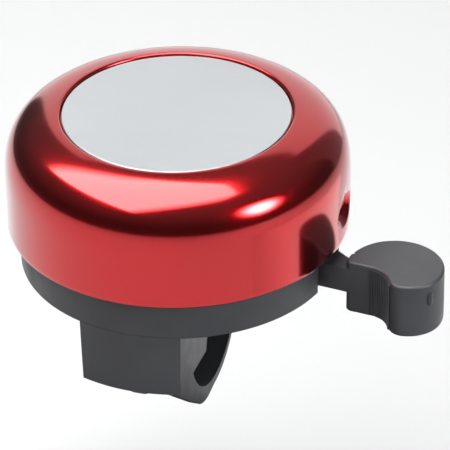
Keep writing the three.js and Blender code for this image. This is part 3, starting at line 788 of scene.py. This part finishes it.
MODULE = 0.8
PRESSURE_ANGLE = 25
ADDENDUM = 0.64
DEDENDUM = 0.88
BACKLASH = 0.16
FLANK_STEPS = 6
LOWER_MESH_Z = CUP_Z + 1.9  # underside of the lever's sector and the idler's pinion
UPPER_MESH_Z = CUP_Z + 4.4  # underside of the idler's gear and the rotor's pinion
SECTOR_TEETH = 30  # in a full circle
SECTOR_TEETH_LEFT = 5  # on the lever
IDLER_PINION_TEETH = 9
IDLER_GEAR_TEETH = 22
ROTOR_PINION_TEETH = 9


def tooth_outline(teeth, first, last):
    """Outline of an involute gear from one tooth to another; tooth 0 is centred on +X."""
    pitch = MODULE * teeth / 2
    base = pitch * math.cos(rad(PRESSURE_ANGLE))
    tip, root = pitch + ADDENDUM, pitch - DEDENDUM

    def involute(radius):
        pressure = math.acos(min(1, base / radius))
        return math.tan(pressure) - pressure

    half = math.pi / (2 * teeth) - BACKLASH / (2 * pitch)

    def half_at(radius):
        return half + involute(pitch) - involute(max(radius, base))

    start = max(root + 0.05, base)
    levels = [root, *[start + (tip - start) * k / FLANK_STEPS for k in range(FLANK_STEPS + 1)]]
    out = []
    for tooth in range(first, last + 1):
        middle = tooth * 2 * math.pi / teeth
        for side, radii in ((-1, levels), (1, levels[::-1])):
            for radius in radii:
                a = middle + side * half_at(radius)
                out.append((radius * math.cos(a), radius * math.sin(a)))
    return out


def whole_gear(name, teeth, low, high):
    return prism(name, tooth_outline(teeth, 0, teeth - 1), low, high)


def mesh_angle(driver_teeth, driver_angle, teeth, line_angle):
    """The turn that sets a gear in mesh with its driver, along the line between their centres."""
    phase = (line_angle - driver_angle) * driver_teeth / 360
    return line_angle + 180 - (0.5 - phase) * 360 / teeth


to_idler = math.degrees(math.atan2(idler_centre[1] - lever_pivot[1], idler_centre[0] - lever_pivot[0]))
to_rotor = math.degrees(math.atan2(-idler_centre[1], -idler_centre[0]))
idler_angle = mesh_angle(SECTOR_TEETH, 0, IDLER_PINION_TEETH, to_idler)
rotor_angle = mesh_angle(IDLER_GEAR_TEETH, idler_angle, ROTOR_PINION_TEETH, to_rotor)


# ---------- lever ----------

PAD_LOW, PAD_HIGH = CUP_Z - 3.4, CUP_Z + 5.6
PAD_EDGE = 0.5
PAD_START = 28.1
HOLLOW = (32.0, -6.45, 4.6)  # x, y and radius of the pad's arcs, in the lever's frame
FRONT = (37.75, -0.15, 5.35)
BACK = (35.65, -0.15, 7.45)
NOSE_RADIUS, NOSE_ANGLE = 2.6, -80
CORNER, BACK_CORNER = 0.9, 0.55
PAD_RIBS = 13
PAD_RIB_RADIUS = 0.18
PAD_RIB_START, PAD_RIB_STEP = 89, 5.6  # degrees round the hollow
GATE_ANGLE = -33
ARM_LOW, ARM_TOP = CUP_Z + 0.2, CUP_Z + 4.4
HUB_LOW = CUP_Z + 1.8


def pad_outline():
    nose = on_circle(FRONT[0], FRONT[1], FRONT[2] - NOSE_RADIUS, NOSE_ANGLE)
    to_hollow = math.degrees(math.atan2(HOLLOW[1] - nose[1], HOLLOW[0] - nose[0]))
    back_end = 180 - math.degrees(math.acos((BACK[0] - PAD_START - 0.2) / BACK[2]))
    flat = HOLLOW[1] + HOLLOW[2]
    back = on_circle(*BACK, back_end)[1]
    return [
        *arc(PAD_START + CORNER, flat + CORNER, CORNER, 180, 270, 8),
        *arc(*HOLLOW, 90, to_hollow + 180, 36),
        *arc(*nose, NOSE_RADIUS, to_hollow, NOSE_ANGLE, 20)[1:],
        *arc(*FRONT, NOSE_ANGLE, 0, 40)[1:],
        *arc(*BACK, 0, back_end - 4, 60)[1:],
        *arc(PAD_START + BACK_CORNER, back - BACK_CORNER, BACK_CORNER, 100, 180, 6),
    ]


def pad_ribs():
    """Fine upright ribs in the pad's hollow, as one body."""
    places = [on_circle(*HOLLOW, PAD_RIB_START - PAD_RIB_STEP * k) for k in range(PAD_RIBS)]
    first, *others = [
        rod("rib", PAD_RIB_RADIUS, PAD_LOW + PAD_EDGE, PAD_HIGH - PAD_EDGE, place, 12) for place in places
    ]
    return join(first, *others)


def build_lever():
    pad = cushion("thumb_lever_body", pad_outline(), PAD_LOW, PAD_HIGH, PAD_EDGE)
    ribs = pad_ribs()
    deep_outline = [(23.3, -1.75), (29, -1.9), (29, 0.2), (28.5, 0.6), (23.3, 3.7)]
    deep = prism("deep_arm", deep_outline, ARM_LOW, ARM_TOP)
    shallow_outline = [(18, -3.9), (22.4, -1.75), (24, -1.75), (24, 3.4), (18, 3.9)]
    shallow = prism("arm", shallow_outline, HUB_LOW, ARM_TOP)
    gate_profile = [(0, -1.1), (0.34, -1.02), (0.48, -0.7), (0.45, 0.7), (0.3, 1.02), (0, 1.1)]
    gate = revolve("gate_mark", gate_profile, 20)
    moved(gate, (*on_circle(*FRONT, GATE_ANGLE), CUP_Z + 3.0))
    body = join(pad, ribs, deep, shallow, gate,
                rod("hub", 3.9, HUB_LOW, ARM_TOP, (PIVOT_DISTANCE, 0), 96),
                rod("collar", 2.1, ARM_TOP - 0.5, CUP_Z + 6.5, (PIVOT_DISTANCE, 0)),
                rod("spring_lug", 0.7, ARM_TOP - 0.5, CUP_Z + 6.0, (PIVOT_DISTANCE + 4.6, 0), 32))
    moved(body, turn=LEVER_ANGLE)
    step = 360 / SECTOR_TEETH
    last = math.floor((to_idler + 0.75 * step) / step)
    teeth = tooth_outline(SECTOR_TEETH, last - SECTOR_TEETH_LEFT + 1, last)
    sector = prism("sector", [(0, 0), *teeth], LOWER_MESH_Z, CUP_Z + 4.0)
    join(body, moved(sector, (*lever_pivot, 0)))
    cut(body, rod("lever_bore", PIVOT_RADIUS + FIT, PAD_LOW - 5, CUP_Z + 12, lever_pivot))
    return finished(bevelled(body, 0.12, segments=2, angle=38), "thumb_lever")


# ---------- hidden works ----------

CLIP_RADIUS = 2.6
GROOVE_RADIUS = 0.9  # lever pin and idler pin
POST_GROOVE_RADIUS = 1.65
GROOVE_ROOM = 0.05  # above and below a clip


def retaining_clip(name, node, inner, outer, place, gap):
    low, high = extent(node)
    half_out = math.degrees(math.asin(gap / 2 / outer))
    half_in = math.degrees(math.asin(min(0.99, gap / 2 / inner)))
    outline = [
        *arc(0, 0, outer, half_out, 360 - half_out, 72), *arc(0, 0, inner, 360 - half_in, half_in, 48),
    ]
    obj = bevelled(prism(name, outline, low.z, high.z), 0.08, segments=2)
    finished(moved(obj, (*place, 0)), node)


def grooved_pin(name, node, place, clip_node):
    low, high = extent(node)
    clip_low, clip_high = extent(clip_node)
    groove_low, groove_high = clip_low.z - GROOVE_ROOM, clip_high.z + GROOVE_ROOM
    profile = rounded([
        (0, low.z, 0), (PIVOT_RADIUS, low.z, 0.15),
        (PIVOT_RADIUS, groove_low, 0.04), (GROOVE_RADIUS, groove_low, 0.04),
        (GROOVE_RADIUS, groove_high, 0.04), (PIVOT_RADIUS, groove_high, 0.04),
        (1.05, high.z, 0.1), (0, high.z, 0),
    ], 0.05)
    finished(moved(revolve(name, profile, 64), (*place, 0)), node)


def build_post():
    low, high = extent("centre_post")
    clip_low, clip_high = extent("rotor_clip")
    groove_low, groove_high = clip_low.z - GROOVE_ROOM, clip_high.z + GROOVE_ROOM
    head_top = CUP_Z + 2.1
    profile = rounded([
        (0, low.z, 0), (POST_HEAD_RADIUS - 0.4, low.z, 0.3), (POST_HEAD_RADIUS, low.z + 0.4, 0.3),
        (POST_HEAD_RADIUS, head_top, 0.15), (POST_RADIUS, head_top, 0.1),
        (POST_RADIUS, groove_low), (POST_GROOVE_RADIUS, groove_low), (POST_GROOVE_RADIUS, groove_high),
        (POST_RADIUS, groove_high), (POST_RADIUS, high.z - 0.3, 0.1), (1.6, high.z, 0.1), (0, high.z, 0),
    ], 0.05)
    finished(revolve("bell_post", profile, 96), "centre_post")


def plain_ring(name, node, inner, outer, edge):
    """A turned ring about the post."""
    low, high = extent(node)
    profile = rounded([(inner, low.z), (outer, low.z), (outer, high.z), (inner, high.z)], edge)
    finished(revolve(name, profile, 96), node)


def build_dome_nut():
    low, high = extent("dome_nut")
    corner = high.x
    crown = corner - 0.55
    cone = revolve("dome_hex_nut", [
        (0, low.z), (crown, low.z), (corner, low.z + 0.3),
        (corner, high.z - 0.3), (crown, high.z), (0, high.z),
    ], 96)
    combine(cone, [rod("hexagon", corner, low.z - 1, high.z + 1, sides=6)], "INTERSECT")
    cut(cone, rod("nut_bore", POST_RADIUS + FIT, low.z - 1, high.z + 1))
    finished(bevelled(cone, 0.06, segments=2, angle=25), "dome_nut")


def build_spring():
    """A torsion spring round the lever's collar: a coil with a straight leg at each end."""
    coil_radius, wire, turns, pitch = 2.55, 0.22, 2.86, 0.47
    leg_share, low_leg, high_leg = 0.06, 5.2, 4.6
    first_angle = rad(212)
    steps = 240
    points = []
    for k in range(steps + 1):
        t = k / steps
        coil = min(max((t - leg_share) / (1 - 2 * leg_share), 0), 1)
        a = first_angle + coil * turns * 2 * math.pi
        beyond = (min(t - leg_share, 0) + max(t - 1 + leg_share, 0)) / leg_share
        leg = beyond * (low_leg if beyond < 0 else high_leg)
        points.append((
            lever_pivot[0] + coil_radius * math.cos(a) - leg * math.sin(a),
            lever_pivot[1] + coil_radius * math.sin(a) + leg * math.cos(a),
            CUP_Z + 4.8 + pitch * turns * coil,
        ))
    finished(tube("return_spring", points, wire), "lever_return_spring", smooth_angle=60)


def build_idler():
    high = CUP_Z + 6.2
    gear = whole_gear("idler_double_gear", IDLER_PINION_TEETH, LOWER_MESH_Z, UPPER_MESH_Z + 0.2)
    join(gear, whole_gear("large", IDLER_GEAR_TEETH, UPPER_MESH_Z, high))
    dish_low, dish_high = high - 0.4, high + 0.7
    dish = [(3.4, dish_high), (7.0, dish_high), (7.0, dish_low), (3.4, dish_low)]
    cut(gear, rod("bore", PIVOT_RADIUS + FIT, CUP_Z - 5, CUP_Z + 12), revolve("dish", dish, 96))
    bevelled(gear, 0.06, segments=2)
    finished(moved(gear, (*idler_centre, 0), idler_angle), "idler_gear")


def build_rotor_pinion():
    flange, neck = 4.2, 3.0
    flange_low, flange_high, top = CUP_Z + 6.5, CUP_Z + 8.15, CUP_Z + 9.95
    hub = revolve("rotor_pinion_hub", rounded([
        (0, flange_low, 0), (flange, flange_low), (flange, flange_high), (neck, flange_high, 0.05),
        (neck, top), (0, top, 0),
    ], 0.15), 96)
    join(hub, whole_gear("pinion", ROTOR_PINION_TEETH, UPPER_MESH_Z, flange_low + 0.2))
    cut(hub, rod("bore", POST_RADIUS + FIT, CUP_Z - 5, CUP_Z + 15))
    bevelled(hub, 0.05, segments=2)
    finished(moved(hub, turn=rotor_angle), "rotor_pinion")


def striker_pin(number, place, bar_low, bar_high):
    """A stud riveted in the bar, whose head carries the loose ring."""
    head_low = extent(f"striker_ring_{number}")[1].z + 0.4
    head_high = head_low + 0.8
    foot = bar_low - 0.05
    shoulder_z = bar_high + 0.05
    neck = 1.35
    stud = revolve(f"striker_stud_{number}", rounded([
        (0, bar_low - 0.6, 0), (1.7, bar_low - 0.6), (1.9, foot), (STUD_RADIUS, foot),
        (STUD_RADIUS, shoulder_z), (neck, shoulder_z), (neck, head_low, 0.05),
        (2.9, head_low), (3.1, head_low + 0.4), (2.4, head_high), (0, head_high, 0),
    ], 0.1), 64)
    finished(moved(stud, place), f"striker_pin_{number}")


def striker_ring(number, place):
    low, high = extent(f"striker_ring_{number}")
    inner, outer = 2.7, 5.5
    profile = rounded([(inner, low.z), (outer, low.z), (outer, high.z), (inner, high.z)], 0.35, 6)
    finished(moved(revolve(f"loose_ring_{number}", profile, 96), place), f"striker_ring_{number}")


def build_striker():
    low, high = extent("striker_bar")
    half, middle = 2.6, 5.4
    turn = math.degrees(math.asin(half / middle))
    outline = [
        *arc(STRIKER_RADIUS, 0, half, -90, 90, 32), *arc(0, 0, middle, turn, 180 - turn, 40),
        *arc(-STRIKER_RADIUS, 0, half, 90, 270, 32), *arc(0, 0, middle, 180 + turn, 360 - turn, 40),
    ]
    bar = prism("striker_arm", outline, low.z, high.z)
    holes = [(3.0 + FIT, 0), (STUD_RADIUS + FIT, -STRIKER_RADIUS), (STUD_RADIUS + FIT, STRIKER_RADIUS)]
    cut(bar, *[rod("hole", radius, low.z - 1, high.z + 1, (x, 0)) for radius, x in holes])
    bevelled(bar, 0.12, segments=2)
    finished(moved(bar, turn=ROTOR_ANGLE), "striker_bar")
    for number, radius in ((1, STRIKER_RADIUS), (2, -STRIKER_RADIUS)):
        place = (*on_circle(0, 0, radius, ROTOR_ANGLE), 0)
        striker_pin(number, place, low.z, high.z)
        striker_ring(number, place)


build_dome()
build_disc()
build_base()
build_strap()
build_nut_and_washer()
build_screw()
build_hinge_pin()
build_lever()
build_post()
plain_ring("post_sleeve", "spacer_sleeve", POST_RADIUS + FIT, 4.0, 0.15)
plain_ring("dome_washer_ring", "dome_washer", 2.1, 4.5, 0.1)
build_dome_nut()
build_spring()
build_idler()
build_rotor_pinion()
build_striker()
grooved_pin("lever_pivot_pin", "lever_pin", lever_pivot, "lever_clip")
grooved_pin("idler_pivot_pin", "idler_pin", idler_centre, "idler_clip")
retaining_clip("rotor_retaining_clip", "rotor_clip", POST_GROOVE_RADIUS + 0.02, 3.6, (0, 0), 1.8)
retaining_clip("lever_retaining_clip", "lever_clip", GROOVE_RADIUS + 0.02, CLIP_RADIUS, lever_pivot, 1.2)
retaining_clip("idler_retaining_clip", "idler_clip", GROOVE_RADIUS + 0.02, CLIP_RADIUS, idler_centre, 1.2)


# ---------- studio ----------

CAMERA_TURN = -70.3  # degrees: where the camera stands, about Z
FLOOR_Z = cad_bounds[0].z - 0.05  # metres from here on
CARD_Z = cad_bounds[0].z - 0.006
SOFTBOX_HEIGHT = 0.7
LAMP_TURN, LAMP_LIFT, LAMP_DISTANCE, LAMP_HALF_WIDTH = 55, 23, 0.8, 21  # angles in degrees
WALL_STEPS = 16


def toward(turn, lift, distance=1.0):
    """A direction from the bell, turned from the camera and lifted above the horizon, in degrees."""
    a = rad(turn + CAMERA_TURN)
    level = math.cos(rad(lift))
    return Vector((math.cos(a) * level, math.sin(a) * level, math.sin(rad(lift)))) * distance


def plain(name, colour, roughness=0.7):
    m = bpy.data.materials.new(name)
    m.use_nodes = True
    shader = m.node_tree.nodes["Principled BSDF"]
    shader.inputs["Base Color"].default_value = (*colour, 1)
    shader.inputs["Roughness"].default_value = roughness
    return m


def glowing(name, strength, fade=None, colour=(1, 1, 1)):
    """An emissive material. With fade, it dims to its rim like a lamp's diffuser: (core share, power)."""
    m = bpy.data.materials.new(name)
    m.use_nodes = True
    tree = m.node_tree
    tree.nodes.clear()
    output = tree.nodes.new("ShaderNodeOutputMaterial")
    emission = add_node(tree, "ShaderNodeEmission", Color=(*colour, 1), Strength=strength)
    tree.links.new(emission.outputs[0], output.inputs["Surface"])
    if fade:
        core, exponent = fade
        coordinates = tree.nodes.new("ShaderNodeTexCoord")
        length = tree.nodes.new("ShaderNodeVectorMath")
        length.operation = "LENGTH"
        spread = add_node(tree, "ShaderNodeMapRange", From_Min=1.0, From_Max=core)
        spread.interpolation_type = "SMOOTHERSTEP"
        power = tree.nodes.new("ShaderNodeMath")
        power.operation = "POWER"
        power.inputs[1].default_value = exponent
        times = tree.nodes.new("ShaderNodeMath")
        times.operation = "MULTIPLY"
        times.inputs[1].default_value = strength
        tree.links.new(coordinates.outputs["Object"], length.inputs[0])
        tree.links.new(length.outputs["Value"], spread.inputs["Value"])
        tree.links.new(spread.outputs["Result"], power.inputs[0])
        tree.links.new(power.outputs[0], times.inputs[0])
        tree.links.new(times.outputs[0], emission.inputs["Strength"])
    return m


def fade_edge(material, inward, start, end, least=0.0):
    """Dims an emissive material towards a straight edge, given by its inward direction and two offsets."""
    tree = material.node_tree
    emission = tree.nodes["Emission"]
    coordinates = tree.nodes.new("ShaderNodeTexCoord")
    along = tree.nodes.new("ShaderNodeVectorMath")
    along.operation = "DOT_PRODUCT"
    along.inputs[1].default_value = (*inward, 0)
    share = add_node(tree, "ShaderNodeMapRange", From_Min=start, From_Max=end, To_Min=least)
    share.interpolation_type = "SMOOTHSTEP"
    times = tree.nodes.new("ShaderNodeMath")
    times.operation = "MULTIPLY"
    times.inputs[1].default_value = emission.inputs["Strength"].default_value
    if emission.inputs["Strength"].links:
        tree.links.new(emission.inputs["Strength"].links[0].from_socket, times.inputs[1])
    tree.links.new(coordinates.outputs["Object"], along.inputs[0])
    tree.links.new(along.outputs["Value"], share.inputs["Value"])
    tree.links.new(share.outputs["Result"], times.inputs[0])
    tree.links.new(times.outputs[0], emission.inputs["Strength"])


def panel(name, corners, material, seen=False):
    """A flat studio piece, which the camera sees only if told so."""
    bm = bmesh.new()
    bm.faces.new([bm.verts.new(c) for c in corners])
    mesh = bpy.data.meshes.new(name)
    bm.to_mesh(mesh)
    bm.free()
    obj = bpy.data.objects.new(name, mesh)
    bpy.context.scene.collection.objects.link(obj)
    mesh.materials.append(material)
    obj.visible_camera = seen
    return obj


def disc_corners(radius, z, sides):
    return [(x, y, z) for x, y in arc(0, 0, radius, 0, 360, sides)[:-1]]


def wall(name, start, end, high, distance, material):
    """An upright strip round the bell from one turn to another. It neither shades nor lights the floor."""
    for k in range(WALL_STEPS):
        a, b = (start + (end - start) * i / WALL_STEPS for i in (k, k + 1))
        left, right = toward(a, 0, distance), toward(b, 0, distance)
        corners = ((left, FLOOR_Z), (right, FLOOR_Z), (right, high), (left, high))
        piece = panel(f"{name}_{k}", [(at.x, at.y, z) for at, z in corners], material)
        piece.visible_shadow = False
        piece.visible_diffuse = False


def card(name, turns, near, far, z, material):
    """A flat ring segment under the bell that casts no shadow."""
    inner = [toward(turn, 0, near) for turn in turns]
    outer = [toward(turn, 0, far) for turn in reversed(turns)]
    piece = panel(name, [(c.x, c.y, z) for c in [*inner, *outer]], material)
    piece.visible_shadow = False
    return piece


def build_softbox():
    """The overhead light. Its plan is in shares of its height, turned from the camera."""
    plan = [
        (-0.73, -1.05), (1.03, -0.60), (0.66, 0.0), (0.42, 0.33),
        (0.10, 0.40), (-0.31, 0.20), (-0.60, -0.08), (-0.76, -0.44),
    ]
    glow = glowing("softbox_glow", 9.0, colour=(1, 0.985, 0.94))
    fade_edge(glow, (-0.836, -0.548), -0.53, -0.20)
    fade_edge(glow, (1, 0), -0.74, -0.44)
    softbox = panel("softbox", [(x, y, 0) for x, y in plan], glow)
    softbox.matrix_world = (
        Matrix.Translation((0, 0, SOFTBOX_HEIGHT))
        @ Matrix.Rotation(rad(CAMERA_TURN), 4, "Z")
        @ Matrix.Scale(SOFTBOX_HEIGHT, 4)
    )


def build_lamp():
    """The small round light at the right."""
    place = toward(LAMP_TURN, LAMP_LIFT, LAMP_DISTANCE) + Vector((0, 0, 0.03))
    lamp = panel("round_lamp", disc_corners(1, 0, 64), glowing("lamp_glow", 28.0, (0.1, 2.2)))
    lamp.matrix_world = (
        Matrix.Translation(place)
        @ (-place).to_track_quat("Z", "Y").to_matrix().to_4x4()
        @ Matrix.Scale(LAMP_DISTANCE * math.tan(rad(LAMP_HALF_WIDTH)), 4)
    )


def build_walls():
    """White walls behind, and a dark low fence that ends the floor's reflection."""
    wall("back_wall", 141, 199, 0.62, 0.6, glowing("wall_glow", 1.0))
    wall("side_wall", 118, 141, 0.5, 0.6, glowing("side_glow", 0.22))
    wall("fence", -161, 118, 0.03, 0.8, plain("fence_black", (0.03, 0.03, 0.03)))


def build_cards():
    """A dark card on the camera's side, and two glowing ones at the right that only glossy surfaces see."""
    card("dark_card", range(-170, 91, 5), 0.001, 0.042, CARD_Z, plain("card_grey", (0.04, 0.04, 0.04)))
    glow = glowing("floor_glow", 1.35)
    edge = toward(134, 0)
    fade_edge(glow, (edge.x, edge.y), 0.0, 0.08, 0.72)
    card("floor_card", range(44, 125, 8), 0.11, 0.26, FLOOR_Z + 0.0005, glow).visible_diffuse = False
    glow = glowing("low_glow", 1.2)
    card("low_card", range(100, 181, 8), 0.02, 0.07, CARD_Z, glow).visible_diffuse = False


def build_room():
    """A dim room that brightens towards its ceiling, behind a white backdrop for the camera."""
    ceiling_low, ceiling_high = 10, 52  # degrees above the horizon
    dim, bright = 0.09, 0.30
    world = bpy.data.worlds.new("studio")
    bpy.context.scene.world = world
    world.use_nodes = True
    tree = world.node_tree
    tree.nodes.clear()
    output = tree.nodes.new("ShaderNodeOutputWorld")
    mix = tree.nodes.new("ShaderNodeMixShader")
    path = tree.nodes.new("ShaderNodeLightPath")
    room = tree.nodes.new("ShaderNodeBackground")
    direction = tree.nodes.new("ShaderNodeTexCoord")
    split = tree.nodes.new("ShaderNodeSeparateXYZ")
    heights = {"From_Min": math.sin(rad(ceiling_low)), "From_Max": math.sin(rad(ceiling_high))}
    ceiling = add_node(tree, "ShaderNodeMapRange", **heights, To_Min=dim, To_Max=bright)
    tree.links.new(direction.outputs["Generated"], split.inputs[0])
    tree.links.new(split.outputs["Z"], ceiling.inputs["Value"])
    tree.links.new(ceiling.outputs["Result"], room.inputs["Strength"])
    backdrop = add_node(tree, "ShaderNodeBackground", Color=(1, 1, 1, 1))
    tree.links.new(path.outputs["Is Camera Ray"], mix.inputs["Fac"])
    tree.links.new(room.outputs[0], mix.inputs[1])
    tree.links.new(backdrop.outputs[0], mix.inputs[2])
    tree.links.new(mix.outputs[0], output.inputs["Surface"])


def build_camera():
    """A long lens half a metre away, 31.4 degrees above the horizon, a little tilted."""
    lift, roll, distance = 31.42, rad(-1.44), 0.5
    target = Vector((0, 0, (CUP_Z + 13) * MM))
    aim_right, aim_down = 0.00718, 0.00707  # metres from the target, to set the bell in the frame
    ahead = -toward(0, lift)
    right = ahead.cross(Vector((0, 0, 1))).normalized()
    up = right.cross(ahead)
    tilted_right = right * math.cos(roll) + up * math.sin(roll)
    tilted_up = up * math.cos(roll) - right * math.sin(roll)
    place = target - ahead * distance
    aim = (ahead * distance + tilted_right * aim_right - tilted_up * aim_down).normalized()
    x_axis = (tilted_right - aim * tilted_right.dot(aim)).normalized()
    y_axis = x_axis.cross(aim)
    data = bpy.data.cameras.new("camera")
    data.sensor_width = 36
    data.lens = 260.16
    data.clip_start = 0.01
    camera = bpy.data.objects.new("camera", data)
    camera.matrix_world = Matrix.Translation(place) @ Matrix((x_axis, y_axis, -aim)).transposed().to_4x4()
    bpy.context.scene.collection.objects.link(camera)
    bpy.context.scene.camera = camera


floor_paint = plain("pale_floor", (0.402, 0.408, 0.428), 0.9)
panel("floor", disc_corners(3.0, FLOOR_Z, 96), floor_paint, seen=True)
build_softbox()
build_lamp()
build_walls()
build_cards()
build_room()
build_camera()
bpy.context.scene.view_settings.view_transform = "Standard"
